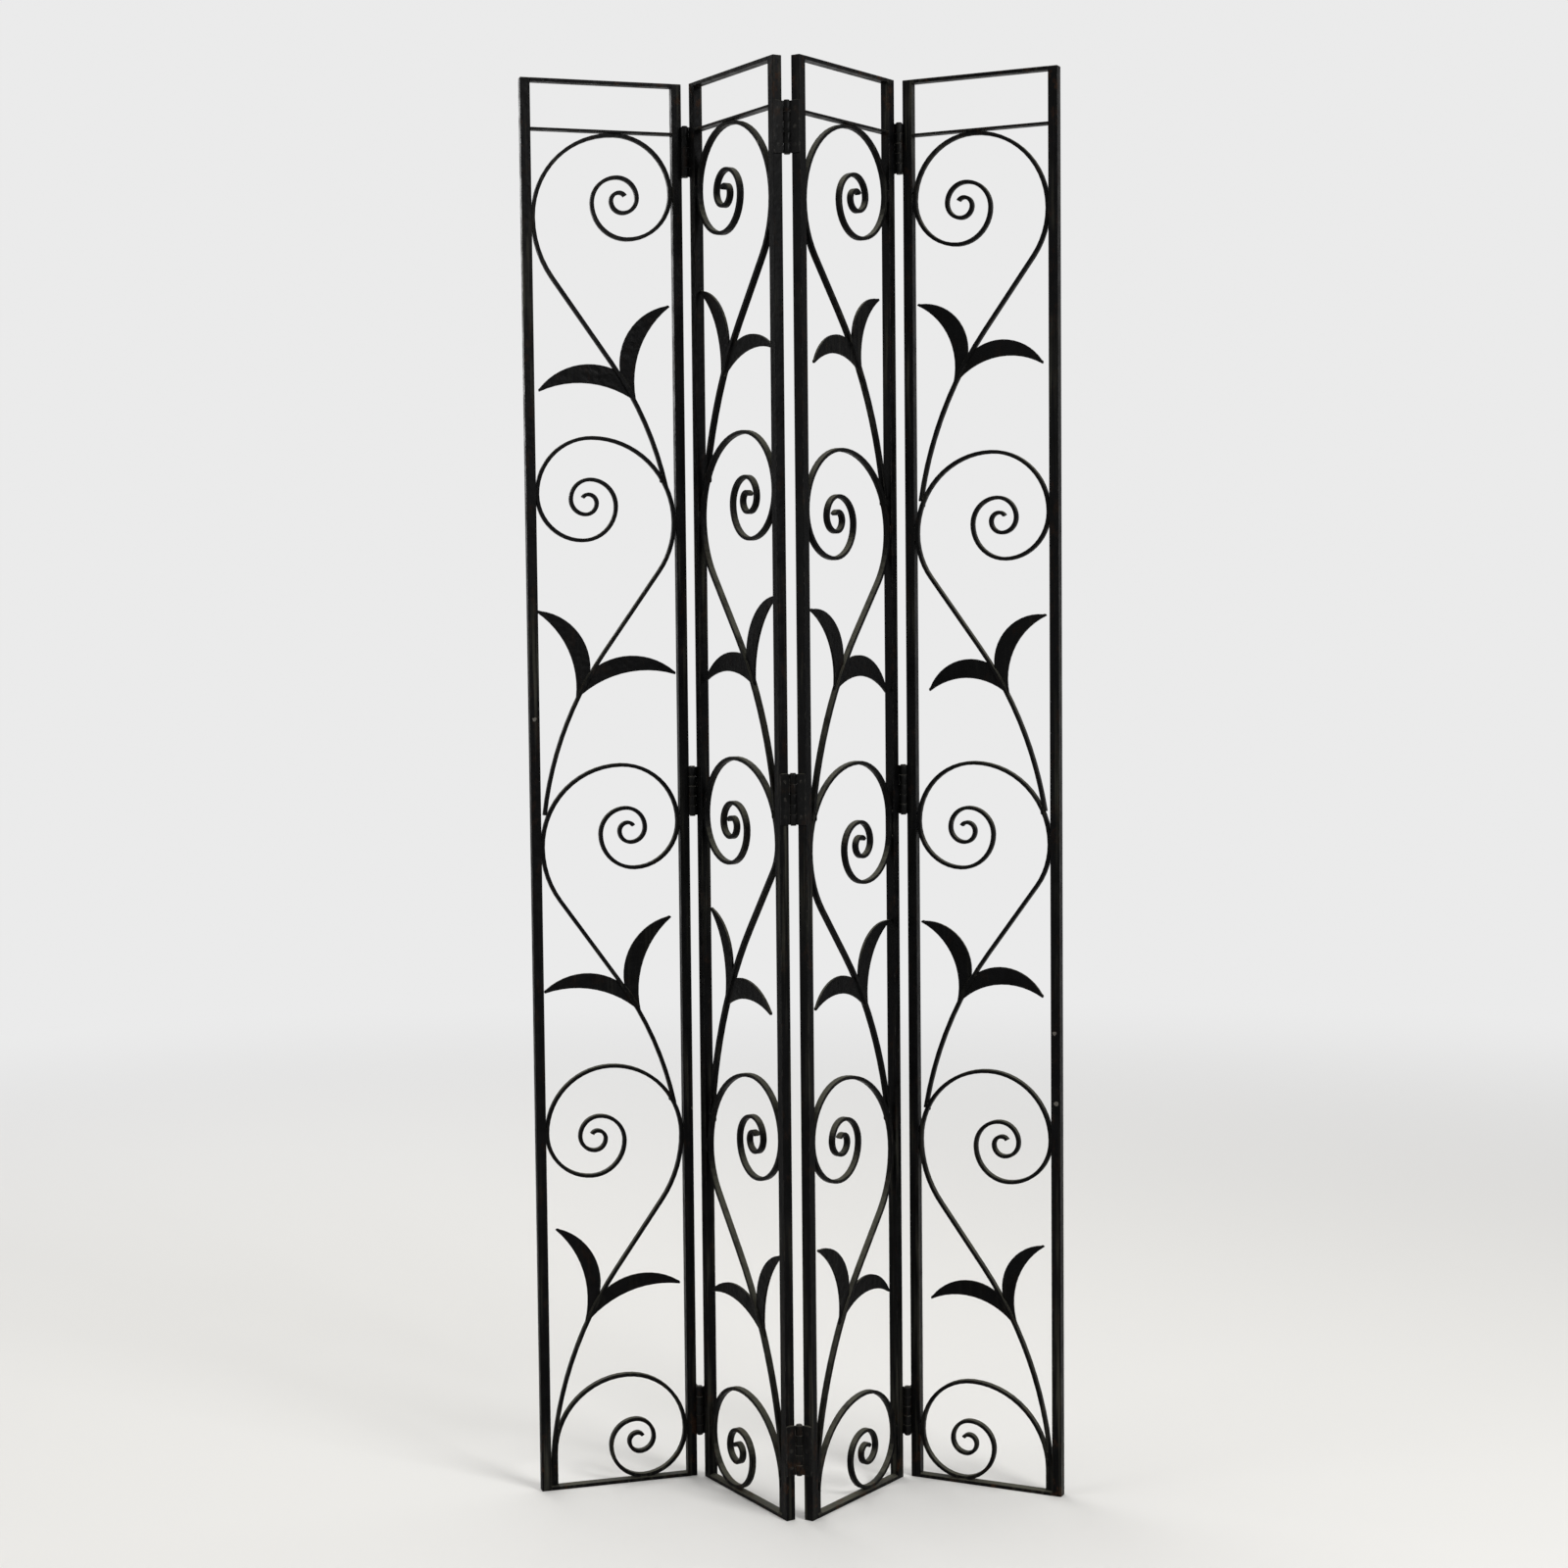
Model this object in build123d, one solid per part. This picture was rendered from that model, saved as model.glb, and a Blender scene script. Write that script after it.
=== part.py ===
"""Folding screen of four wrought iron panels with scrolls and leaves, standing on its feet.

Units are millimetres. +Z is up and -Y is the front. The origin is on the floor, under the
middle of the screen's overall size. Panels are numbered from the left, seen from the front.
Each panel is set out lying in its own plane: X runs from its left edge, Z is height.
"""
import math
import os

from build123d import *

# Panel frame
HEIGHT = 1829.0            # to the top of the stiles, 72 in
PANEL_W = 210.5            # over both stiles
STILE = 12.7               # square bar
TOP_RAIL_T = 4.8           # flat bar, level with the stile tops
CROSS_RAIL_T = 3.2         # flat bar over the first scroll
FOOT_RAIL_T = 4.8          # flat bar on the floor

# Scrolls: flat bar bent on edge
BAR_T = 4.8                # thickness, seen from the front
BAR_D = 7.9                # depth, along the panel's thickness
SEAT = 0.2                 # how deep a scroll is let into the bar it is welded to
FIRST_GAP = 69.0           # from the stile tops down to the first scroll's crown
COIL_STEP = 0.757          # each quarter turn inwards is tighter by this factor
COIL_QUARTERS = 9
EYE_TURN = 60.0            # last bit of the eye, degrees
SHOULDER_R = 110.0         # where the scroll leaves the stile
STEM_LEAN = 35.5           # slope of the stem's straight run, degrees from upright
STEM_MORE = 30.0           # how far past one scroll step the stem would run before it is upright
WEDGE = 42.0               # how far over the next scroll's side the tail ends

# Leaves: crescent plates welded to both sides of each stem
LEAF_T = 3.0
LOW_JOINT = 38.0           # height over which the low leaf is joined to the stem
HIGH_JOINT = 29.0
HIGH_FOOT_OUT = 2.5        # how far outside the stem's middle the high leaf's foot is
FORK_FALL = 322.0          # from a scroll's crown down to where its leaves meet
TIP_W = 4.6                # width across a leaf's tip
TIP_NOSE = 1.4             # how far the tip is rounded out

# Butt hinges with five knuckles
HINGE_L = 63.5
HINGE_LEAF_T = 2.4
HINGE_FOOT_GAP = 90.0      # from the floor to the middle of the low hinge
HINGE_TOP_GAP = 87.0       # from the stile tops to the middle of the high hinge
KNUCKLES = 5
KNUCKLE_R = 4.75
KNUCKLE_GAP = 0.3
PIN_R = 2.35
PIN_GAP = 0.06             # running clearance, on the radius
PIN_HEAD_R = 3.6
PIN_HEAD_T = 1.3
AXIS_OUT = 2.8             # from the stile's edge face to the hinge axis
AXIS_OFF = 5.05            # from the panel's face to the hinge axis

# How the screen stands: turn of each panel in plan, then the side each joint's hinges are on
PANEL_TURN = (16.7, -58.8, 54.3, -25.5)
HINGE_SIDE = (-1, 1, -1)   # -1 is the front of the panels, +1 the back
# Which panel of each joint has the three outer knuckles, for the low, middle and high hinge
OUTER_KNUCKLES = ((0, 1, 0), (1, 0, 1), (1, 0, 1))

# What differs by hand from panel to panel. Added to the sizes above: the crowns of the first four
# scrolls, how high each coil sits under its crown, the straight drop on its far side, the stems'
# lean, the shoulders' radii and the falls to the forks. Then the bows of the leaves' outer and
# inner edges, as shares of their length, and each tip's gap to the stile it points at and rise
# above the fork.
PANELS = (
    {"crowns": (1.5, 19.2, -0.1, 9.1), "lifts": (5.0, 5.0, 2.0, -7.0, -4.0),
     "drops": (0.0, 0.0, 0.0, 0.0, 0.0), "lean": 0.0,
     "bends": (20.0, 0.0, 11.0, 38.0), "forks": (15.5, 13.0, 2.0, 17.0),
     "low_bows": (0.17, 0.13), "high_bows": (0.21, 0.14),
     "low_tips": ((7.8, 14.0), (4.5, 33.0), (3.5, 33.5), (9.0, 46.5)),
     "high_tips": ((9.0, 122.0), (3.5, 113.0), (17.0, 123.0), (16.0, 127.5))},
    {"crowns": (5.0, 21.7, 13.4, 13.0), "lifts": (2.0, 2.0, 1.0, 6.0, 2.0),
     "drops": (0.0, 0.0, 0.0, 0.0, 0.0), "lean": 2.0,
     "bends": (3.0, 12.0, -54.0, -16.0), "forks": (-2.0, -2.0, 2.0, 13.4),
     "low_bows": (0.155, 0.13), "high_bows": (0.21, 0.14),
     "low_tips": ((4.5, 34.0), (5.0, 8.0), (25.0, 7.0), (5.5, 36.0)),
     "high_tips": ((6.0, 118.0), (6.0, 113.0), (15.0, 125.0), (10.0, 114.5))},
    {"crowns": (-2.5, -0.8, 8.9, 13.1), "lifts": (0.0, 0.0, 4.0, 6.0, 7.0),
     "drops": (0.0, 0.0, 22.0, 0.0, 0.0), "lean": 3.0,
     "bends": (-5.0, -6.0, 10.0, 18.5), "forks": (-14.5, -17.0, -1.5, -4.0),
     "low_bows": (0.23, 0.18), "high_bows": (0.26, 0.17),
     "low_tips": ((22.0, 11.5), (7.5, 0.0), (13.0, 17.5), (11.5, 23.5)),
     "high_tips": ((21.5, 98.0), (12.5, 105.0), (7.5, 111.0), (17.0, 107.0))},
    {"crowns": (-5.0, -3.3, 3.4, 7.6), "lifts": (-2.0, 0.0, 0.0, -7.0, 3.5),
     "drops": (0.0, 0.0, 0.0, 0.0, 0.0), "lean": 1.0,
     "bends": (-11.0, -15.0, -19.0, 29.0), "forks": (-7.0, -12.0, -8.0, 13.0),
     "low_bows": (0.22, 0.175), "high_bows": (0.25, 0.18),
     "low_tips": ((11.0, 24.0), (19.0, 8.0), (13.5, 17.0), (17.0, 30.5)),
     "high_tips": ((8.5, 103.5), (10.0, 102.0), (8.5, 105.5), (16.0, 111.5))},
)

# Sizes that follow
AXIS_U = PANEL_W + AXIS_OUT
AXIS_V = STILE / 2 + AXIS_OFF
LOW_HINGE = HINGE_FOOT_GAP
HIGH_HINGE = HEIGHT - HINGE_TOP_GAP
HINGE_HEIGHTS = (LOW_HINGE, (LOW_HINGE + HIGH_HINGE) / 2, HIGH_HINGE)


def turned(x, y, degrees):
    """Point (x, y) turned about the origin."""
    a = math.radians(degrees)
    return x * math.cos(a) - y * math.sin(a), x * math.sin(a) + y * math.cos(a)


def walk(x, z, heading, moves):
    """Path of straights and arcs: each stretch gives its start, middle and end with headings."""
    stretches = []
    for length_or_radius, turn in moves:
        marks = [(x, z, heading)]
        for part in (0.5, 1.0):
            if turn == 0:
                a = math.radians(heading)
                run = length_or_radius * part
                marks.append((x + run * math.cos(a), z + run * math.sin(a), heading))
                continue
            side = math.copysign(length_or_radius, turn)
            a0 = math.radians(heading)
            a1 = math.radians(heading + turn * part)
            px = x + side * (math.sin(a1) - math.sin(a0))
            pz = z - side * (math.cos(a1) - math.cos(a0))
            marks.append((px, pz, heading + turn * part))
        stretches.append((turn == 0, marks))
        x, z, heading = marks[-1]
    return stretches


def beside(mark, off):
    """Point off to the left of a mark on a path."""
    x, z, heading = mark
    a = math.radians(heading)
    return x - off * math.sin(a), z + off * math.cos(a)


def bar_along(stretches, thickness, depth):
    """Flat bar on edge that follows a path in the panel's plane."""
    edges = []
    for straight, marks in stretches:
        pts = [beside(m, thickness / 2) for m in marks]
        edges.append(Line(pts[0], pts[2]) if straight else ThreePointArc(*pts))
    last = stretches[-1][1][-1]
    edges.append(Line(beside(last, thickness / 2), beside(last, -thickness / 2)))
    for straight, marks in reversed(stretches):
        pts = [beside(m, -thickness / 2) for m in reversed(marks)]
        edges.append(Line(pts[0], pts[2]) if straight else ThreePointArc(*pts))
    first = stretches[0][1][0]
    edges.append(Line(beside(first, -thickness / 2), beside(first, thickness / 2)))
    return upright(Face(Wire(edges)), depth)


def upright(face, depth):
    """Thicken a face drawn in plan and stand it up in the panel's plane."""
    plate = extrude(face, amount=depth, dir=(0, 0, 1))
    return Rot(90, 0, 0) * Pos(0, 0, -depth / 2) * plate


def block(x0, x1, z0, z1, depth=STILE):
    """Square-edged bar from x0 to x1 and z0 to z1, centred on the panel's plane."""
    size = Box(x1 - x0, depth, z1 - z0)
    return Pos((x0 + x1) / 2, 0, (z0 + z1) / 2) * size


class Scroll:
    """One scroll with its stem, seen with the stem's start at the left stile."""

    def __init__(self, crown, lift, drop, inset=0.0):
        self.left = STILE + BAR_T / 2 - SEAT + inset
        self.right = PANEL_W - STILE - BAR_T / 2 + SEAT
        self.lift = lift
        self.drop = drop
        width = self.right - self.left
        self.outer_r = width / (1 + COIL_STEP)
        self.coil_h = width * COIL_STEP - lift + drop
        self.shoulder = crown - self.outer_r - lift
        self.stem = []

    def coil_moves(self):
        """Quarter turns from the shoulder up over the crown and in to the eye."""
        radii = [self.outer_r * COIL_STEP ** n for n in range(COIL_QUARTERS + 1)]
        radii[0] += self.lift
        radii[1] -= self.lift
        eye_r = radii.pop()
        moves = [(r, -90.0) for r in radii] + [(eye_r, -EYE_TURN)]
        if self.drop > 0:
            moves.insert(2, (self.drop, 0))
        return moves

    def run_down(self, end):
        """Straight stem beside the stile, from the shoulder down to a height."""
        self.stem = [(self.shoulder - end, 0)]

    def run_over(self, slope, bend_r, fall, end):
        """Stem that leans over and would be upright at the far stile after a fall, cut at end."""
        self.lean = math.radians(slope)
        s, c = math.sin(self.lean), math.cos(self.lean)
        self.bend_w = bend_r * (1 - c)
        self.bend_h = bend_r * s
        across = self.right - (STILE + BAR_T / 2 - SEAT) - self.bend_w
        down = fall - self.bend_h
        self.tail_r = (down * s - across * c) / (1 - c)
        self.run = (across - self.tail_r * (1 - c)) / s
        left_over = math.degrees(math.asin((fall - end) / self.tail_r))
        self.stem = [(bend_r, slope), (self.run, 0), (self.tail_r, left_over - slope)]

    def stem_x(self, height):
        """Where the leaning stem is at a given height."""
        fall = self.shoulder - height
        run_end = self.bend_h + self.run * math.cos(self.lean)
        if fall < run_end:
            return self.left + self.bend_w + (fall - self.bend_h) * math.tan(self.lean)
        b = math.asin(math.sin(self.lean) - (fall - run_end) / self.tail_r)
        run_w = self.bend_w + self.run * math.sin(self.lean)
        return self.left + run_w + self.tail_r * (math.cos(b) - math.cos(self.lean))

    def path(self):
        """The whole bar's path, from the eye out and down to the tail."""
        x, z, heading = walk(self.left, self.shoulder, 90.0, self.coil_moves())[-1][1][-1]
        outwards = [(r, -turn) for r, turn in reversed(self.coil_moves())]
        return walk(x, z, heading + 180, outwards + self.stem)


def bowed(start, end, bow, side):
    """Middle of an arc between two points that bows out by a share of their distance."""
    dx, dz = end[0] - start[0], end[1] - start[1]
    off = side * bow
    return (start[0] + dx / 2 - off * dz, start[1] + dz / 2 + off * dx)


def crescent(root, foot, tip, bows, side):
    """Leaf plate between two arcs, from its joint on the stem out to a rounded tip."""
    dx, dz = tip[0] - foot[0], tip[1] - foot[1]
    run = math.hypot(dx, dz)
    way = (dx / run, dz / run)
    tip_in = (tip[0] + side * TIP_W * way[1], tip[1] - side * TIP_W * way[0])
    middle = ((tip[0] + tip_in[0]) / 2, (tip[1] + tip_in[1]) / 2)
    nose = (middle[0] + TIP_NOSE * way[0], middle[1] + TIP_NOSE * way[1])
    edges = [
        ThreePointArc(root, bowed(root, tip, bows[0], side), tip),
        ThreePointArc(tip, nose, tip_in),
        ThreePointArc(tip_in, bowed(foot, tip_in, bows[1], side), foot),
        Line(foot, root),
    ]
    return upright(Face(Wire(edges)), LEAF_T)


def leaf_points(scroll, foot_z, low_tip, high_tip):
    """Root, foot and tip of the low and the high leaf on one stem."""
    foot = (scroll.stem_x(foot_z), foot_z)
    low_root = (scroll.stem_x(foot_z + LOW_JOINT), foot_z + LOW_JOINT)
    high_root = (scroll.stem_x(foot_z + HIGH_JOINT), foot_z + HIGH_JOINT)
    low = (STILE + low_tip[0], foot_z + low_tip[1])
    high = (PANEL_W - STILE - high_tip[0], foot_z + high_tip[1])
    high_foot = (foot[0] + HIGH_FOOT_OUT, foot_z)
    return (low_root, foot, low), (high_root, high_foot, high)


def crown_heights(hand):
    """Heights of a panel's five crowns, and the usual step between them."""
    lowest = Scroll(0, hand["lifts"][4], hand["drops"][4], inset=BAR_T)
    last = FOOT_RAIL_T + BAR_T / 2 - SEAT + lowest.coil_h
    first = HEIGHT - FIRST_GAP
    pitch = (first - last) / 4
    crowns = [first - n * pitch + more for n, more in enumerate(hand["crowns"])]
    return crowns + [last], pitch


def panel_scrolls(hand):
    """The five scrolls of one panel with their stems laid."""
    crowns, pitch = crown_heights(hand)
    hung = list(zip(crowns, hand["lifts"], hand["drops"]))
    scrolls = [Scroll(*place) for place in hung[:4]]
    scrolls.append(Scroll(*hung[4], inset=BAR_T))
    floor = FOOT_RAIL_T - SEAT
    for above, below, bend in zip(scrolls, scrolls[1:], hand["bends"]):
        fall = pitch + STEM_MORE
        end = above.shoulder - below.shoulder - WEDGE
        if below is scrolls[4]:
            fall = end = above.shoulder - floor
        above.run_over(STEM_LEAN + hand["lean"], SHOULDER_R + bend, fall, end)
    scrolls[4].run_down(floor)
    return scrolls, crowns


def panel_pieces(number):
    """All fixed pieces of one panel, in the panel's own plane."""
    hand = PANELS[number]
    scrolls, crowns = panel_scrolls(hand)
    left = block(0, STILE, 0, HEIGHT)
    right = block(PANEL_W - STILE, PANEL_W, 0, HEIGHT)
    foot_rail = block(STILE, PANEL_W - STILE, 0, FOOT_RAIL_T)
    cross_z = crowns[0] + BAR_T / 2 - SEAT
    cross_rail = block(STILE, PANEL_W - STILE, cross_z, cross_z + CROSS_RAIL_T)
    top_rail = block(STILE, PANEL_W - STILE, HEIGHT - TOP_RAIL_T, HEIGHT)

    bars = []
    leaves = []
    for n, scroll in enumerate(scrolls):
        bar = bar_along(scroll.path(), BAR_T, BAR_D)
        pair = []
        if n < 4:
            foot_z = crowns[n] - FORK_FALL - hand["forks"][n]
            low, high = leaf_points(scroll, foot_z, hand["low_tips"][n], hand["high_tips"][n])
            pair = [crescent(*low, hand["low_bows"], -1), crescent(*high, hand["high_bows"], 1)]
            pair = [leaf - [bar, left, right] for leaf in pair]
        if n % 2 == 1:
            bar = flipped(bar)
            pair = [flipped(leaf) for leaf in pair]
        bars.append(bar)
        leaves += [whole(leaf) for leaf in pair]
    for n in (0, 1, 2):
        bars[n] = bars[n] - bars[n + 1]
    bars[4] = bars[4] - bars[3]
    bars = [whole(bar - [left, right, foot_rail, cross_rail]) for bar in bars]

    pieces = {
        "left_stile": [left],
        "right_stile": [right],
        "top_rail": [top_rail],
        "cross_rail": [cross_rail],
        "foot_rail": [foot_rail],
        "scrolls_eye_right": bars[0::2],
        "scrolls_eye_left": bars[1::2],
        "leaves": leaves,
    }
    if number % 2 == 0:
        return pieces
    other = {name: [flipped(s) for s in solids] for name, solids in pieces.items()}
    for name, twin in (("left_stile", "right_stile"), ("scrolls_eye_right", "scrolls_eye_left")):
        other[name], other[twin] = other[twin], other[name]
    return other


def flipped(shape):
    """The same piece, left for right, within the panel."""
    return Pos(PANEL_W, 0, 0) * mirror(shape, about=Plane.YZ)


def whole(shape):
    """The largest solid of a trimmed piece."""
    return max(shape.solids(), key=lambda s: s.volume)


def hinge_leaf(right_edge, side, height, outer):
    """Hinge leaf with its knuckles on one edge of a panel, in the panel's plane."""
    edge = PANEL_W if right_edge else 0.0
    out = 1 if right_edge else -1
    axis = (edge + out * AXIS_OUT, side * AXIS_V)
    plate = Pos(edge + out * HINGE_LEAF_T / 2, 0, height) * Box(HINGE_LEAF_T, STILE, HINGE_L)
    leaf = plate
    step = HINGE_L / KNUCKLES
    for k in range(KNUCKLES):
        if (k % 2 == 0) != outer:
            continue
        z = height - HINGE_L / 2 + (k + 0.5) * step
        tall = step - KNUCKLE_GAP
        reach = AXIS_V - STILE / 2
        tab = Box(HINGE_LEAF_T, reach, tall)
        leaf += Pos(edge + out * HINGE_LEAF_T / 2, side * (STILE / 2 + reach / 2), z) * tab
        leaf += Pos(axis[0], axis[1], z) * Cylinder(KNUCKLE_R, tall)
    bore_r = PIN_R if outer else PIN_R + PIN_GAP
    leaf -= Pos(axis[0], axis[1], height) * Cylinder(bore_r, 2 * HINGE_L)
    return whole(leaf)


def hinge_pin(right_edge, side, height):
    """Pin with a button head at each end, through the knuckles."""
    edge = PANEL_W + AXIS_OUT if right_edge else -AXIS_OUT
    shank_l = HINGE_L - KNUCKLE_GAP
    pin = Cylinder(PIN_R, shank_l)
    for end in (-1, 1):
        head = Cylinder(PIN_HEAD_R, PIN_HEAD_T)
        pin += Pos(0, 0, end * (shank_l + PIN_HEAD_T) / 2) * head
    return whole(Pos(edge, side * AXIS_V, height) * pin)


def hinge_pieces(joint):
    """Leaves and pins of the three hinges between two panels, by node name."""
    nodes = {}
    side = HINGE_SIDE[joint]
    title = f"hinge_{joint + 1}_{joint + 2}"
    for half in (0, 1):
        number = joint + half
        leaves = []
        pins = []
        for height, outer in zip(HINGE_HEIGHTS, OUTER_KNUCKLES[joint]):
            leaves.append(hinge_leaf(half == 0, side, height, outer == half))
            if outer == half:
                pins.append(hinge_pin(half == 0, side, height))
        nodes[f"{title}_leaves_on_panel_{number + 1}"] = (number, leaves)
        nodes[f"{title}_pins_on_panel_{number + 1}"] = (number, pins)
    return nodes


def plan_places():
    """Plan place of each panel's left edge and of each hinge axis, before centring."""
    places = [(0.0, 0.0)]
    axes = []
    for joint, side in enumerate(HINGE_SIDE):
        x, y = places[joint]
        dx, dy = turned(AXIS_U, side * AXIS_V, PANEL_TURN[joint])
        axes.append((x + dx, y + dy))
        bx, by = turned(-AXIS_OUT, side * AXIS_V, PANEL_TURN[joint + 1])
        places.append((x + dx - bx, y + dy - by))
    return places, axes


def centred_plan():
    """The same places, with the middle of the overall size at the origin."""
    places, axes = plan_places()
    xs = []
    ys = []
    for n, ((x, y), turn) in enumerate(zip(places, PANEL_TURN)):
        left = 0.0 if n == 0 else -HINGE_LEAF_T
        right = PANEL_W if n == 3 else PANEL_W + HINGE_LEAF_T
        for u in (left, right):
            for v in (-STILE / 2, STILE / 2):
                dx, dy = turned(u, v, turn)
                xs.append(x + dx)
                ys.append(y + dy)
    for x, y in axes:
        xs += [x - KNUCKLE_R, x + KNUCKLE_R]
        ys += [y - KNUCKLE_R, y + KNUCKLE_R]
    mx = (min(xs) + max(xs)) / 2
    my = (min(ys) + max(ys)) / 2
    shift = [(x - mx, y - my) for x, y in places]
    return shift, [(x - mx, y - my) for x, y in axes]


def screen_nodes():
    """Every node of the screen with its panel number and its solids, in place."""
    places, _ = centred_plan()
    nodes = {}
    for number in range(4):
        for name, solids in panel_pieces(number).items():
            nodes[f"panel_{number + 1}_{name}"] = (number, solids)
    for joint in range(3):
        nodes.update(hinge_pieces(joint))
    placed = {}
    for name, (number, solids) in nodes.items():
        x, y = places[number]
        spot = Pos(x, y, 0) * Rot(0, 0, PANEL_TURN[number])
        placed[name] = (number, [spot * s for s in solids])
    return placed


def export_screen():
    os.makedirs("parts", exist_ok=True)
    for name, (_, solids) in screen_nodes().items():
        shape = solids[0] if len(solids) == 1 else Compound(children=solids)
        shape.label = name
        export_step(shape, f"parts/{name}.step")


export_screen()
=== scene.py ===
"""Folding screen of four wrought iron panels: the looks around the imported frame.

Lengths are metres unless a name says otherwise. Each panel has its own coordinates: u runs from
the left stile's middle to the right one's, v to the panel's back, and z is height.
"""
import math
import random

import bmesh
import bpy
import numpy as np
from mathutils import Matrix, Vector
from mathutils.bvhtree import BVHTree


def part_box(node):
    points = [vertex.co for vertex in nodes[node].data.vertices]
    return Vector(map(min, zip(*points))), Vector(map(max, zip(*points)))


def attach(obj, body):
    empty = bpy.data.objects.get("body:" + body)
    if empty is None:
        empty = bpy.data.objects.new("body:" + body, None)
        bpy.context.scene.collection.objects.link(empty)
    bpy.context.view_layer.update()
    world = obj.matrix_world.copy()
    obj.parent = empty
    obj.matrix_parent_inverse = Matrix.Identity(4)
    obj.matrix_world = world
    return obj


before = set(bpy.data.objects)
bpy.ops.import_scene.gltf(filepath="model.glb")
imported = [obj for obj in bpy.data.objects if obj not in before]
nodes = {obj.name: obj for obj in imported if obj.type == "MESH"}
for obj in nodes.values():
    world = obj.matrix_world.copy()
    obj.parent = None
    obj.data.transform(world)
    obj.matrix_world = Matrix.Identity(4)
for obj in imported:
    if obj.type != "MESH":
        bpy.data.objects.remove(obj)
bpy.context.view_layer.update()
MM = 0.001

# Camera
CAMERA_PLACE = (-13.2 * MM, -3412.9 * MM, 1155.4 * MM)
CAMERA_PITCH = 3.79        # degrees down
CAMERA_ROLL = -0.556
CAMERA_LENS = 61.39        # on the sensor below, square picture
CAMERA_SENSOR = 36.0
CAMERA_REACH = 60.0


def in_scene(name, data):
    """A new object with this data, linked into the scene."""
    obj = bpy.data.objects.new(name, data)
    bpy.context.scene.collection.objects.link(obj)
    return obj


def make_camera():
    data = bpy.data.cameras.new("camera")
    data.sensor_width = CAMERA_SENSOR
    data.lens = CAMERA_LENS
    data.clip_end = CAMERA_REACH
    cam = in_scene("camera", data)
    tilt = Matrix.Rotation(math.radians(90 - CAMERA_PITCH), 4, "X")
    roll = Matrix.Rotation(math.radians(CAMERA_ROLL), 4, "Z")
    cam.matrix_world = Matrix.Translation(CAMERA_PLACE) @ tilt @ roll
    bpy.context.scene.camera = cam


def rgba(r, g, b):
    return (r, g, b, 1.0)


# Material nodes
class Tree:
    """Short names for building one material's nodes."""

    def __init__(self, material):
        material.use_nodes = True
        self.nodes = material.node_tree.nodes
        self.links = material.node_tree.links
        self.nodes.clear()

    def add(self, kind, inputs=None, **settings):
        node = self.nodes.new(kind)
        for key, value in settings.items():
            setattr(node, key, value)
        for key, value in (inputs or {}).items():
            self.put(node, key, value)
        return node

    def put(self, node, key, value):
        if isinstance(value, bpy.types.NodeSocket):
            self.links.new(value, node.inputs[key])
        else:
            node.inputs[key].default_value = value

    def math(self, operation, a, b=0.0, clamp=False):
        node = self.add("ShaderNodeMath", {0: a, 1: b}, operation=operation, use_clamp=clamp)
        return node.outputs[0]

    def times(self, a, b, clamp=False):
        return self.math("MULTIPLY", a, b, clamp)

    def plus(self, a, b, clamp=False):
        return self.math("ADD", a, b, clamp)

    def vector(self, operation, inputs):
        return self.add("ShaderNodeVectorMath", inputs, operation=operation).outputs

    def height_of(self, vector):
        return self.add("ShaderNodeSeparateXYZ", {0: vector}).outputs["Z"]

    def ramp(self, value, low, high, to_low=0.0, to_high=1.0):
        inputs = {"Value": value, "From Min": low, "From Max": high, "To Min": to_low, "To Max": to_high}
        node = self.add("ShaderNodeMapRange", inputs, interpolation_type="SMOOTHSTEP")
        return node.outputs["Result"]

    def mix(self, factor, a, b):
        """One colour laid over another. The colours are the node's sockets 6 and 7."""
        return self.add("ShaderNodeMix", {0: factor, 6: a, 7: b}, data_type="RGBA").outputs[2]

    def noise(self, place, scale, detail, rough=0.5):
        inputs = {"Vector": place, "Scale": scale, "Detail": detail, "Roughness": rough}
        return self.add("ShaderNodeTexNoise", inputs).outputs[0]

    def wander(self, place, scale, reach):
        """A small offset that varies from place to place, to make outlines ragged."""
        inputs = {"Vector": place, "Scale": scale, "Detail": 2.0}
        colour = self.add("ShaderNodeTexNoise", inputs).outputs["Color"]
        centred = self.vector("SUBTRACT", {0: colour, 1: (0.5, 0.5, 0.5)})[0]
        return self.vector("SCALE", {0: centred, "Scale": reach})[0]

    def stretched(self, place, scale, shift=(0.0, 0.0, 0.0)):
        inputs = {"Vector": place, "Scale": scale, "Location": shift}
        return self.add("ShaderNodeMapping", inputs).outputs[0]


# Patterns on the iron: scale of a noise per metre, its detail and its roughness
BROAD = (6.0, 3.0, 0.5)
PATCH = (42.0, 4.0, 0.62)
GRAIN = (640.0, 3.0, 0.6)
RIPPLE = (240.0, 3.0, 0.5)
SCUFF = (70.0, 4.0, 0.68)
DRIP = (1.0, 3.0, 0.62)
DRIP_STRETCH = (190.0, 190.0, 6.0)     # narrow across, long downwards
SPOT = (64.0, 6.0, 0.72)
SPOT_STRETCH = (1.0, 1.0, 0.55)
SPOT_SHIFT = (3.1, 0.4, 1.7)
DENT_SCALE = 120.0
DENT_SOFT = 0.9
CHIP_SCALE = 30.0
CHIP_WANDER = (210.0, 4.5 * MM)        # scale and reach

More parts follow.
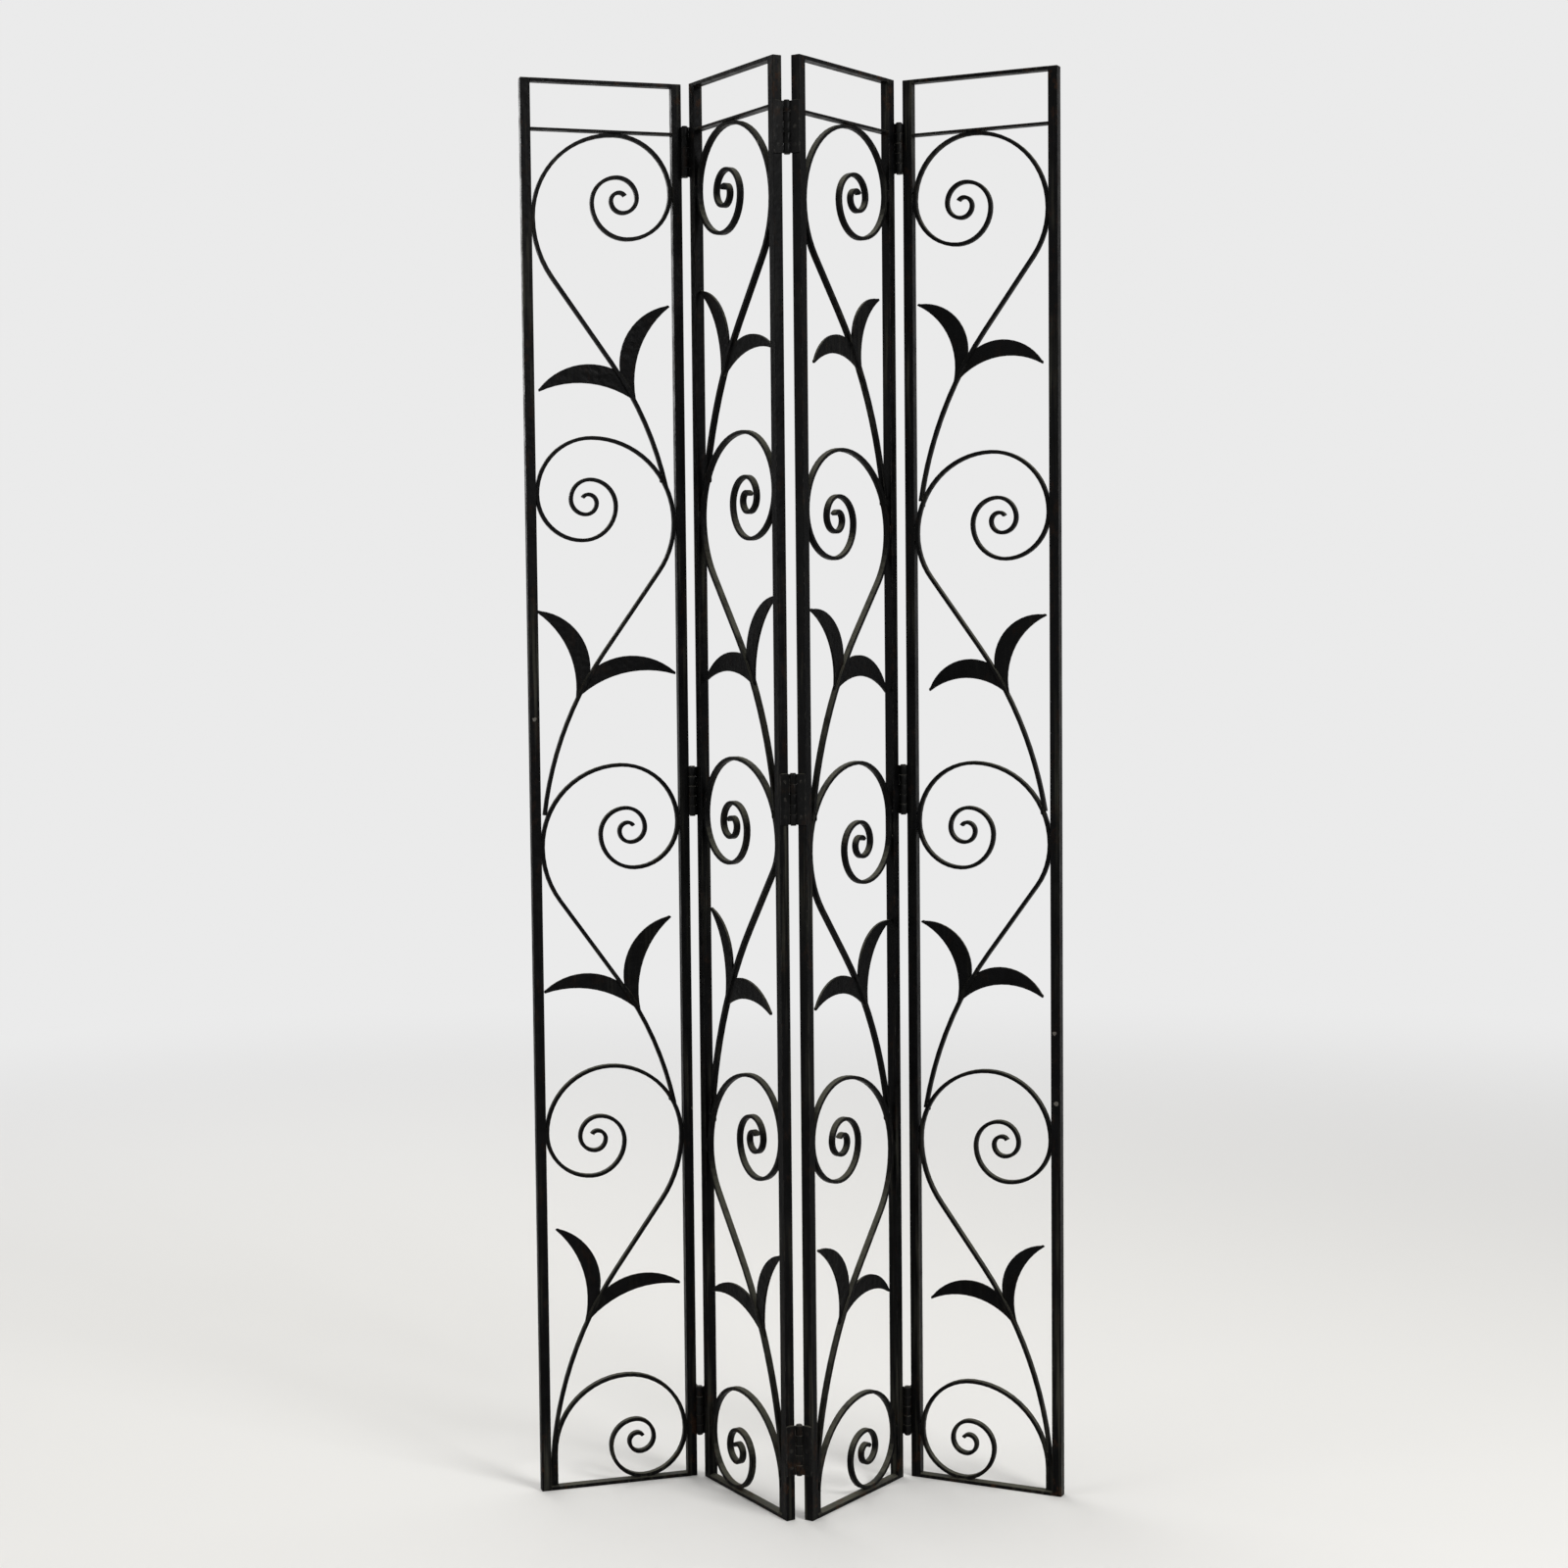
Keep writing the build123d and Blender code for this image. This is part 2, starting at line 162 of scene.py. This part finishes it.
# Ranges of a pattern from none to all, with other ends than 0 and 1 behind them
THIN_PAINT = (0.36, 0.74)
FILM_AREAS = (0.42, 0.66)
FILM_RUNS = (0.47, 0.72)
FILM_AT_FEET = (0.42, 0.03, 0.0, 1.0)  # by height
# Faces that look up get dust and a painted sheen, lighter as if lit from above
LOOKING_UP = (0.12, 0.75)
DUST_AND_SHEEN_AREAS = (0.26, 0.58, 0.25, 1.0)
EDGE = (0.97, 0.78)                    # by how far the rounded normal leans from the true one
SCUFFED = (0.50, 0.64)
CHIP_RIM = (0.095, 0.070)
CHIP_RARE = (0.87, 0.885)
RUST_AT_FEET = (0.14, 0.0, 0.0, 0.5)   # by height
RUST_AT_TOP = (1.74, 1.83, 0.0, 0.3)
RUST_SPOTS = (0.54, 0.66)
RUST_TONES = (0.35, 0.65)
GLOSS_AREAS = (0.3, 0.75)

# Colours and strengths
BLACK = rgba(0.0011, 0.0011, 0.0012)
# Olive-grey of grime and dust, also laid on faces that look up as a painted sheen
FILM_AND_SHEEN = rgba(0.080, 0.078, 0.060)
WORN_METAL = rgba(0.115, 0.106, 0.092)
CHIPPED = rgba(0.17, 0.158, 0.14)
DARK_RUST = rgba(0.024, 0.011, 0.005)
LIGHT_RUST = rgba(0.080, 0.036, 0.016)
THIN_GAIN = 2.6            # how much lighter thin paint is
# How strongly dust and the painted sheen lighten faces that look up
DUST_AND_SHEEN = 0.9
EDGE_WIDTH = 1.2 * MM
RUST_ANYWHERE = 0.10
GLOSSIER = 0.09            # less roughness where the paint is thick
DULLER = 0.12              # more where it is thin
DULL_FILM = 0.35           # more where film, the painted sheen or rust lies
SPECULAR = 0.05
DEPTH = 1.3 * MM           # of the relief below
DENTS, RIPPLES, GRAINS, CHIPS, RUST_CRUST = 0.9, 0.5, 0.14, 0.6, 0.8


class Iron(Tree):
    """Old black paint over forged bar, what lies on it, and a painted sheen on faces that look up."""

    def __init__(self, material):
        super().__init__(material)
        self.place = self.add("ShaderNodeTexCoord").outputs["Object"]
        self.normal = self.add("ShaderNodeNewGeometry").outputs["True Normal"]
        self.height = self.height_of(self.place)
        self.patch = self.noise(self.place, *PATCH)
        self.grain = self.noise(self.place, *GRAIN)

    def film_and_sheen(self, runs):
        """Grime in runs, over more of the iron at the feet, and dust on faces that look up, which is also a
        painted sheen: those faces are lightened as if lit from above.
        """
        areas = self.ramp(self.noise(self.place, *BROAD), *FILM_AREAS)
        reach = self.plus(areas, self.ramp(self.height, *FILM_AT_FEET), clamp=True)
        drips = self.noise(self.stretched(self.place, DRIP_STRETCH), *DRIP)
        grime = self.times(self.times(self.ramp(drips, *FILM_RUNS), reach), runs)
        # Dust, and a painted sheen: faces that look up are made lighter as if lit from above
        looking_up = self.ramp(self.height_of(self.normal), *LOOKING_UP)
        dust_and_sheen = self.times(looking_up, self.ramp(self.patch, *DUST_AND_SHEEN_AREAS))
        return self.plus(grime, self.times(dust_and_sheen, DUST_AND_SHEEN), clamp=True)

    def rubbed_edges(self, wear):
        rounded = self.add("ShaderNodeBevel", {"Radius": EDGE_WIDTH}, samples=4).outputs[0]
        lean = self.vector("DOT_PRODUCT", {0: rounded, 1: self.normal})["Value"]
        scuffs = self.ramp(self.noise(self.place, *SCUFF), *SCUFFED)
        return self.times(self.times(self.ramp(lean, *EDGE), scuffs), wear)

    def chips(self, wear):
        """A few ragged chips in the paint."""
        bent = self.vector("ADD", {0: self.place, 1: self.wander(self.place, *CHIP_WANDER)})[0]
        inputs = {"Vector": bent, "Scale": CHIP_SCALE, "Randomness": 1.0}
        cells = self.add("ShaderNodeTexVoronoi", inputs).outputs
        lot = self.add("ShaderNodeSeparateColor", {0: cells["Color"]}).outputs[0]
        chip = self.times(self.ramp(cells["Distance"], *CHIP_RIM), self.ramp(lot, *CHIP_RARE))
        return self.times(chip, wear)

    def rust(self, strength):
        """Rust at the feet and the tops, and thin freckles elsewhere."""
        ends = self.plus(self.ramp(self.height, *RUST_AT_FEET), self.ramp(self.height, *RUST_AT_TOP))
        spots = self.noise(self.stretched(self.place, SPOT_STRETCH, SPOT_SHIFT), *SPOT)
        rusty = self.times(self.plus(ends, RUST_ANYWHERE), self.ramp(spots, *RUST_SPOTS))
        return self.times(rusty, strength, clamp=True)

    def roughness(self, rough, film_and_sheen_here, rusty):
        paint = self.ramp(self.patch, *GLOSS_AREAS, rough - GLOSSIER, rough + DULLER)
        dull = self.math("MAXIMUM", film_and_sheen_here, rusty)
        return self.plus(paint, self.times(dull, DULL_FILM), clamp=True)

    def relief(self, hammer, chip, rusty):
        """The normal of soft hammer dents, ripples and grain, with chips sunk and rust raised."""
        inputs = {"Vector": self.place, "Scale": DENT_SCALE, "Smoothness": DENT_SOFT, "Randomness": 1.0}
        dents = self.add("ShaderNodeTexVoronoi", inputs, feature="SMOOTH_F1").outputs["Distance"]
        high = self.times(dents, DENTS)
        high = self.plus(high, self.times(self.noise(self.place, *RIPPLE), RIPPLES))
        high = self.plus(high, self.times(self.grain, GRAINS))
        high = self.math("SUBTRACT", high, self.times(chip, CHIPS))
        high = self.plus(high, self.times(rusty, self.times(self.grain, RUST_CRUST)))
        return self.add("ShaderNodeBump", {"Strength": hammer, "Distance": DEPTH, "Height": high}).outputs[0]


def painted_iron(name, base, film_and_sheen, hammer, runs, rust, wear=0.6, rough=0.42):
    """Paint, then film (with a painted sheen on faces that look up), rubbed edges, chips and rust over it,
    each by the strength given.
    """
    material = bpy.data.materials.new(name)
    t = Iron(material)
    film_and_sheen_here = t.film_and_sheen(runs)
    chip = t.chips(wear)
    rusty = t.rust(rust)

    thin = rgba(*(THIN_GAIN * c for c in base[:3]))
    colour = t.mix(t.ramp(t.patch, *THIN_PAINT), base, thin)
    # Film colour over grime, dust and the painted sheen on faces that look up
    colour = t.mix(film_and_sheen_here, colour, film_and_sheen)
    colour = t.mix(t.rubbed_edges(wear), colour, WORN_METAL)
    colour = t.mix(chip, colour, CHIPPED)
    tone = t.mix(t.ramp(t.grain, *RUST_TONES), DARK_RUST, LIGHT_RUST)
    colour = t.mix(rusty, colour, tone)

    shader = t.add(
        "ShaderNodeBsdfPrincipled",
        {
            "Base Color": colour,
            "Roughness": t.roughness(rough, film_and_sheen_here, rusty),
            "Specular IOR Level": SPECULAR,
            "Normal": t.relief(hammer, chip, rusty),
        },
    )
    t.add("ShaderNodeOutputMaterial", {"Surface": shader.outputs[0]})
    return material


stile_paint = painted_iron("stile_paint", BLACK, FILM_AND_SHEEN, hammer=0.34, runs=0.34, rust=0.9)
rail_paint = painted_iron("rail_paint", BLACK, FILM_AND_SHEEN, hammer=0.34, runs=0.25, rust=1.0)
scroll_paint = painted_iron("scroll_paint", BLACK, FILM_AND_SHEEN, hammer=0.50, runs=0.22, rust=0.6)
leaf_paint = painted_iron("leaf_paint", BLACK, FILM_AND_SHEEN, hammer=0.75, runs=0.10, rust=0.6, rough=0.46)
weld_paint = painted_iron("weld_paint", BLACK, FILM_AND_SHEEN, hammer=0.85, runs=0.05, rust=1.0, rough=0.5)
# The second colour is the film, which also lays a painted sheen on faces that look up
hinge_paint = painted_iron(
    "hinge_paint", rgba(0.0022, 0.0022, 0.0022), rgba(0.075, 0.072, 0.060),
    hammer=0.22, runs=0.12, rust=0.9, wear=0.9, rough=0.38,
)
pin_paint = painted_iron(
    "pin_paint", rgba(0.006, 0.0058, 0.0054), rgba(0.085, 0.080, 0.068),
    hammer=0.14, runs=0.1, rust=1.0, wear=1.0, rough=0.34,
)


# The CAD nodes
WELD_GAP = 0.002 * MM      # between the split vertices of neighbouring faces
SHARP = math.radians(40)


def finish_of(name):
    """Material and width of the rounded edges, in millimetres, for one CAD node."""
    for word, paint, round_mm in (
        ("_pins_", pin_paint, 0.35),
        ("hinge_", hinge_paint, 0.30),
        ("stile", stile_paint, 0.80),
        ("rail", rail_paint, 0.55),
        ("scrolls", scroll_paint, 0.75),
        ("leaves", leaf_paint, 0.60),
    ):
        if word in name:
            return paint, round_mm
    raise ValueError(name)


def dress(name, obj):
    paint, round_mm = finish_of(name)
    for slot in obj.material_slots:
        slot.material = paint
    joined = obj.modifiers.new("joined", "WELD")
    joined.merge_threshold = WELD_GAP
    rounded = obj.modifiers.new("rounded", "BEVEL")
    rounded.width = round_mm * MM
    rounded.segments = 2
    rounded.limit_method = "ANGLE"
    rounded.angle_limit = SHARP
    rounded.harden_normals = True


for node_name, node in nodes.items():
    dress(node_name, node)


# Panels
FACES = (-1, 1)            # front and back
EYES = ("right", "left")


class Panel:
    """One panel's own coordinates, taken from its two stiles."""

    def __init__(self, number):
        self.number = number
        self.body = f"panel_{number}"
        left_low, left_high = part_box(f"{self.body}_left_stile")
        right_low, right_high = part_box(f"{self.body}_right_stile")
        start = (left_low + left_high) / 2
        along = (right_low + right_high) / 2 - start
        self.start = np.array((start.x, start.y))
        self.span = along.length
        self.u = np.array((along.x, along.y)) / self.span
        self.v = np.array((-self.u[1], self.u[0]))
        self.half = self.node("left_stile")[:, 0].max()

    def local(self, node_name):
        """Every vertex of a node as rows of u, v and z."""
        co = np.array([p.co for p in nodes[node_name].data.vertices])
        flat = co[:, :2] - self.start
        return np.column_stack((flat @ self.u, flat @ self.v, co[:, 2]))

    def node(self, end_of_name):
        return self.local(f"{self.body}_{end_of_name}")

    def world(self, u, v, z):
        x, y = self.start + u * self.u + v * self.v
        return Vector((x, y, z))

    def scrolls(self, eye):
        return f"{self.body}_scrolls_eye_{eye}"

    def hinge_leaves(self):
        """Name, vertices, side and outer face of the stile, for each node of hinge leaves."""
        for name in nodes:
            if name.endswith(f"leaves_on_{self.body}"):
                spots = self.local(name)
                side = 1 if spots[:, 0].mean() > self.span / 2 else -1
                face_u = self.span + self.half if side > 0 else -self.half
                yield name, spots, side, face_u


def solids_of(node_name):
    """The vertex numbers of each separate solid in a node."""
    mesh = nodes[node_name].data
    places = {}
    same = []
    for p in mesh.vertices:
        key = tuple(round(c, 6) for c in p.co)
        same.append(places.setdefault(key, len(places)))
    parent = list(range(len(places)))

    def root(i):
        while parent[i] != i:
            parent[i] = parent[parent[i]]
            i = parent[i]
        return i

    for face in mesh.polygons:
        first = root(same[face.vertices[0]])
        for k in face.vertices[1:]:
            parent[root(same[k])] = first
    groups = {}
    for k in range(len(same)):
        groups.setdefault(root(same[k]), []).append(k)
    return [np.array(group) for group in groups.values()]


def surface_of(node_name):
    mesh = nodes[node_name].data
    corners = [p.co for p in mesh.vertices]
    return BVHTree.FromPolygons(corners, [tuple(f.vertices) for f in mesh.polygons])


# Weld beads
class Beads:
    """All the weld beads of one body, as one mesh."""

    SIDES = 6
    LEAST_RINGS = 7
    RING_STEP = 0.6        # shares of the radius from here on
    PUDDLE = 1.1           # length of one puddle
    PUDDLE_FALL = 0.16     # how much it thins before the next one
    END = 0.12             # size of a bead's two ends
    LOOK = 0.1 * MM        # how far to each side the path is read for its direction

    def __init__(self, name, seed):
        self.name = name
        self.points = []
        self.faces = []
        self.dice = random.Random(seed)

    def lay(self, path, radius):
        """A bead with overlapping puddles along a short path of points."""
        line = [Vector(p) for p in path]
        steps = [(b - a).length for a, b in zip(line, line[1:])]
        total = sum(steps)
        if min(steps) == 0.0:
            raise ValueError(f"{self.name}: two points of a bead are the same")
        count = max(self.LEAST_RINGS, int(total / (self.RING_STEP * radius)))
        lump = self.dice.uniform(0.9, 1.1)
        rings = []
        for k in range(count + 1):
            share = k / count
            middle = self.along(line, steps, share * total)
            ahead = self.along(line, steps, min(total, share * total + self.LOOK))
            behind = self.along(line, steps, max(0.0, share * total - self.LOOK))
            dome = math.sqrt(max(0.0, 1 - (2 * share - 1) ** 4))
            puddle = 1 - self.PUDDLE_FALL * ((share * total / (self.PUDDLE * radius)) % 1.0)
            size = radius * lump * max(self.END, dome) * puddle
            rings.append(self.ring(middle, (ahead - behind).normalized(), size))
        for low, high in zip(rings, rings[1:]):
            for s in range(self.SIDES):
                n = (s + 1) % self.SIDES
                self.faces.append((low[s], low[n], high[n], high[s]))
        self.faces.append(tuple(reversed(rings[0])))
        self.faces.append(tuple(rings[-1]))

    def ring(self, middle, way, size):
        """The numbers of an uneven ring of new points about a bead's path."""
        side = way.orthogonal().normalized()
        up = way.cross(side)
        first = len(self.points)
        for s in range(self.SIDES):
            a = 2 * math.pi * s / self.SIDES
            r = size * self.dice.uniform(0.92, 1.08)
            self.points.append(middle + r * (math.cos(a) * side + math.sin(a) * up))
        return range(first, first + self.SIDES)

    @staticmethod
    def along(line, steps, distance):
        for a, b, step in zip(line, line[1:], steps):
            if distance <= step or b is line[-1]:
                return a.lerp(b, min(1.0, distance / step))
            distance -= step

    def build(self, body, paint):
        mesh = bpy.data.meshes.new(self.name)
        mesh.from_pydata([tuple(p) for p in self.points], [], self.faces)
        for face in mesh.polygons:
            face.use_smooth = True
        mesh.materials.append(paint)
        mesh.update()
        obj = in_scene(self.name, mesh)
        smooth = obj.modifiers.new("softened", "SUBSURF")
        smooth.levels = 1
        smooth.render_levels = 1
        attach(obj, body)


TOUCH = 0.03 * MM
NEAR = 0.4 * MM            # between the facets of two curved faces that touch
BEAD = 1.5 * MM            # radius of the beads, but for the three below
RAIL_BEAD = 1.35 * MM
LEAF_BEAD = 1.8 * MM
HINGE_BEAD = 1.1 * MM
RAIL_BEAD_REACH = 0.82     # half lengths, as shares of half the stile
HINGE_BEAD_REACH = 0.75
TAIL_BEAD_LENGTH = 12 * MM
LEAST_SEAM = 5             # fewer vertices than this are no seam
APART = 100 * MM           # less than two tails or two hinges of one panel are apart

# Gap between two contacts, then a bead's half length: share of the contact, extra and limit
STILE_CONTACT = (30 * MM, 0.55, 2.5 * MM, 9 * MM)
RAIL_CONTACT = (20 * MM, 0.50, 2.0 * MM, 8 * MM)


def runs_of(values, gap):
    """Sorted values split wherever two neighbours lie further apart than the gap."""
    values = np.sort(values)
    cuts = np.where(np.diff(values) > gap)[0] + 1
    return [part for part in np.split(values, cuts) if len(part)]


def contact_ends(values, gap, share, extra, limit):
    """Where the bead over each contact starts and ends."""
    for part in runs_of(values, gap):
        reach = min(share * np.ptp(part) + extra, limit)
        yield part.mean() - reach, part.mean() + reach


def weld_scrolls_to_frame(panel, beads):
    """Beads where the scrolls touch the stiles, the cross rail and the foot rail."""
    cross_z = panel.node("cross_rail")[:, 2].min()
    floor_z = panel.node("foot_rail")[:, 2].max()
    for eye in EYES:
        name = panel.scrolls(eye)
        spots = panel.local(name)
        for solid in solids_of(name):
            own = spots[solid]
            depth = own[:, 1].max()
            for face_u in (panel.half, panel.span - panel.half):
                on_face = own[abs(own[:, 0] - face_u) < TOUCH]
                for ends in contact_ends(on_face[:, 2], *STILE_CONTACT):
                    for v in (-depth, depth):
                        beads.lay([panel.world(face_u, v, z) for z in ends], BEAD)
            for plane_z in (cross_z, floor_z):
                on_plane = own[abs(own[:, 2] - plane_z) < TOUCH]
                for ends in contact_ends(on_plane[:, 0], *RAIL_CONTACT):
                    for v in (-depth, depth):
                        beads.lay([panel.world(u, v, plane_z) for u in ends], BEAD)


def weld_rails(panel, beads):
    """Beads across the inner corners of the three rails."""
    reach = RAIL_BEAD_REACH * panel.half
    for rail, under in (("top_rail", True), ("cross_rail", True), ("foot_rail", False)):
        z = panel.node(rail)[:, 2]
        corner_z = z.min() if under else z.max()
        for u in (panel.half, panel.span - panel.half):
            beads.lay([panel.world(u, v, corner_z) for v in (-reach, reach)], RAIL_BEAD)


def near_rows(panel, node_name, solid, bar):
    """The vertices of one solid that lie against a bar, from the lowest up."""
    mesh = nodes[node_name].data
    seam = [k for k in solid if bar.find_nearest(mesh.vertices[k].co)[3] < NEAR]
    rows = panel.local(node_name)[seam]
    return rows[np.argsort(rows[:, 2])]


def hugging(bar, low, high, steps=8):
    """A path between two points that keeps to a bar's surface."""
    return [bar.find_nearest(low.lerp(high, k / steps))[0] for k in range(steps + 1)]


def weld_leaves(panel, beads):
    """Beads on both faces along the seams between the leaves and their stems."""
    name = f"{panel.body}_leaves"
    bars = [surface_of(panel.scrolls(eye)) for eye in EYES]
    for solid in solids_of(name):
        bar = max(bars, key=lambda b: len(near_rows(panel, name, solid, b)))
        rows = near_rows(panel, name, solid, bar)
        for side in FACES:
            face = rows[rows[:, 1] * side > 0]
            low, high = (panel.world(*face[k]) for k in (0, -1))
            beads.lay(hugging(bar, low.lerp(high, 0.05), low.lerp(high, 0.95)), LEAF_BEAD)


def weld_tails(panel, beads):
    """Beads in the crotches where one scroll's tail lies against the next scroll."""
    for eye, other in (EYES, EYES[::-1]):
        name = panel.scrolls(eye)
        bar = surface_of(panel.scrolls(other))
        for solid in solids_of(name):
            rows = near_rows(panel, name, solid, bar)
            for side in FACES:
                face = rows[rows[:, 1] * side > 0]
                for part in runs_of(face[:, 2], APART):
                    if len(part) < LEAST_SEAM:
                        continue
                    top = face[np.argmin(abs(face[:, 2] - part[-1]))]
                    foot = top - np.array((0, 0, TAIL_BEAD_LENGTH))
                    beads.lay(hugging(bar, panel.world(*foot), panel.world(*top)), BEAD)


def weld_hinges(panel, beads):
    """Beads across the ends of each hinge leaf on the outer face of a stile."""
    reach = HINGE_BEAD_REACH * panel.half
    for _, spots, _, face_u in panel.hinge_leaves():
        plate = spots[abs(spots[:, 0] - face_u) < TOUCH]
        for part in runs_of(plate[:, 2], APART):
            for z in (part[0], part[-1]):
                beads.lay([panel.world(face_u, v, z) for v in (-reach, reach)], HINGE_BEAD)


# Screws of the hinge leaves
HINGE_LEAF = 2.4 * MM      # thickness of a hinge leaf
SCREW_R = 2.7 * MM
SCREW_RISE = 0.22 * MM     # dome over the leaf's face
SCREW_CORNERS = 24
SCREW_RINGS = ((1.0, 0.0), (0.8, 0.6), (0.45, 0.92))    # shares of the radius and the rise
SLOT_HALF = 0.42 * MM
SLOT_DEEP = 0.9 * MM
SCREW_ROWS = (-22 * MM, 0.0, 22 * MM)


def screw_head():
    """Corners and faces of a low domed head with a slot across it, its rim on z = 0.

    Both are sorted, since mesh operations don't keep one order from run to run.
    """
    head = bmesh.new()
    rings = []
    for share, rise in SCREW_RINGS:
        ring = []
        for k in range(SCREW_CORNERS):
            a = 2 * math.pi * k / SCREW_CORNERS
            r = SCREW_R * share
            ring.append(head.verts.new((r * math.cos(a), r * math.sin(a), SCREW_RISE * rise)))
        rings.append(ring)
    for outer, inner in zip(rings, rings[1:]):
        for k in range(SCREW_CORNERS):
            n = (k + 1) % SCREW_CORNERS
            head.faces.new((outer[k], outer[n], inner[n], inner[k]))
    head.faces.new(rings[-1])
    for offset in (-SLOT_HALF, SLOT_HALF):
        everything = head.verts[:] + head.edges[:] + head.faces[:]
        bmesh.ops.bisect_plane(head, geom=everything, plane_co=(0, offset, 0), plane_no=(0, 1, 0))
    slot = [f for f in head.faces if abs(f.calc_center_median().y) < SLOT_HALF]
    walls = bmesh.ops.extrude_face_region(head, geom=slot)["geom"]
    bmesh.ops.delete(head, geom=slot, context="FACES")
    floor_points = [p for p in walls if isinstance(p, bmesh.types.BMVert)]
    bmesh.ops.translate(head, verts=floor_points, vec=(0, 0, -SLOT_DEEP))

    places = {p: tuple(round(c, 7) + 0.0 for c in p.co) for p in head.verts}
    corners = sorted(places.values())
    number = {place: k for k, place in enumerate(corners)}
    faces = []
    for face in head.faces:
        ring = [number[places[p]] for p in face.verts]
        first = ring.index(min(ring))
        faces.append(ring[first:] + ring[:first])
    head.free()
    return [Vector(corner) for corner in corners], sorted(faces)


def hinge_screws(panel, head, dice):
    """Three slotted screws in every hinge leaf on one panel, as one piece."""
    corners, faces = head
    points = []
    rings = []
    for name, spots, side, stile_u in panel.hinge_leaves():
        outwards = Vector((*(side * panel.u), 0.0)).to_track_quat("Z", "Y").to_matrix().to_4x4()
        for solid in solids_of(name):
            z = spots[solid][:, 2]
            middle_z = (z.min() + z.max()) / 2
            for row in SCREW_ROWS:
                spot = panel.world(stile_u + side * HINGE_LEAF, 0.0, middle_z + row)
                slot_turn = Matrix.Rotation(dice.uniform(0, math.pi), 4, "Z")
                place = Matrix.Translation(spot) @ outwards @ slot_turn
                rings += [[len(points) + k for k in face] for face in faces]
                points += [place @ corner for corner in corners]
    mesh = bpy.data.meshes.new(f"{panel.body}_hinge_screws")
    mesh.from_pydata(points, [], rings)
    mesh.materials.append(pin_paint)
    obj = in_scene(mesh.name, mesh)
    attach(obj, panel.body)


BEAD_SEED = 40
SCREW_SEED = 70
HEAD = screw_head()

for number in range(1, 5):
    panel = Panel(number)
    hinge_screws(panel, HEAD, random.Random(SCREW_SEED + panel.number))
    beads = Beads(f"{panel.body}_welds", BEAD_SEED + panel.number)
    weld_scrolls_to_frame(panel, beads)
    weld_rails(panel, beads)
    weld_leaves(panel, beads)
    weld_tails(panel, beads)
    weld_hinges(panel, beads)
    beads.build(panel.body, weld_paint)


# Floor and light
BACKDROP = rgba(0.83, 0.83, 0.83)
FLOOR = rgba(0.78, 0.77, 0.745)
FLOOR_HALF = 14.0
FLOOR_DROP = -0.05 * MM
FLOOR_FADE = (0.9, 4.5)    # distances between which the floor passes into the backdrop
LEVEL = 0.40               # world light on the object
AIM = (0.0, 0.0, 0.9)
LAMPS = {                  # place, width, height and watts
    "key": ((2.5, -2.6, 2.9), 1.4, 1.4, 105),
    "fill": ((-3.2, -1.6, 1.6), 2.0, 2.4, 20),
    "top": ((-0.5, 0.7, 4.2), 2.6, 2.2, 62),
    "rim": ((-1.4, 3.0, 2.2), 2.0, 1.4, 24),
}


def seen_directly(t):
    """1 for rays from the camera, also through gloss or glass."""
    path = t.add("ShaderNodeLightPath").outputs
    direct = t.math("MAXIMUM", path["Is Camera Ray"], path["Is Glossy Ray"])
    return t.math("MAXIMUM", direct, path["Is Transmission Ray"])


def make_floor():
    material = bpy.data.materials.new("floor")
    t = Tree(material)
    place = t.add("ShaderNodeTexCoord").outputs["Object"]
    away = t.vector("LENGTH", {0: place})["Value"]
    matt = t.add("ShaderNodeBsdfDiffuse", {"Color": FLOOR})
    glow = t.add("ShaderNodeEmission", {"Color": BACKDROP, "Strength": 1.0})
    factor = t.times(t.ramp(away, *FLOOR_FADE), seen_directly(t))
    both = t.add("ShaderNodeMixShader", {0: factor, 1: matt.outputs[0], 2: glow.outputs[0]})
    t.add("ShaderNodeOutputMaterial", {"Surface": both.outputs[0]})
    mesh = bpy.data.meshes.new("floor")
    around = ((-1, -1), (1, -1), (1, 1), (-1, 1))
    mesh.from_pydata([(x * FLOOR_HALF, y * FLOOR_HALF, 0) for x, y in around], [], [(0, 1, 2, 3)])
    mesh.materials.append(material)
    floor = in_scene("floor", mesh)
    floor.location.z = FLOOR_DROP


def make_world():
    world = bpy.data.worlds.new("world")
    bpy.context.scene.world = world
    t = Tree(world)
    light = t.add("ShaderNodeBackground", {"Color": rgba(1, 1, 1), "Strength": LEVEL})
    shown = t.add("ShaderNodeBackground", {"Color": BACKDROP, "Strength": 1.0})
    inputs = {0: seen_directly(t), 1: light.outputs[0], 2: shown.outputs[0]}
    both = t.add("ShaderNodeMixShader", inputs)
    t.add("ShaderNodeOutputWorld", {"Surface": both.outputs[0]})


def make_lamp(name, place, width, height, power):
    data = bpy.data.lights.new(name, "AREA")
    data.shape = "RECTANGLE"
    data.size = width
    data.size_y = height
    data.energy = power
    obj = in_scene(name, data)
    obj.location = place
    obj.rotation_mode = "QUATERNION"
    obj.rotation_quaternion = (Vector(AIM) - Vector(place)).to_track_quat("-Z", "Y")


bpy.context.scene.view_settings.view_transform = "Standard"
make_camera()
make_floor()
make_world()
for lamp_name, lamp in LAMPS.items():
    make_lamp(lamp_name, *lamp)
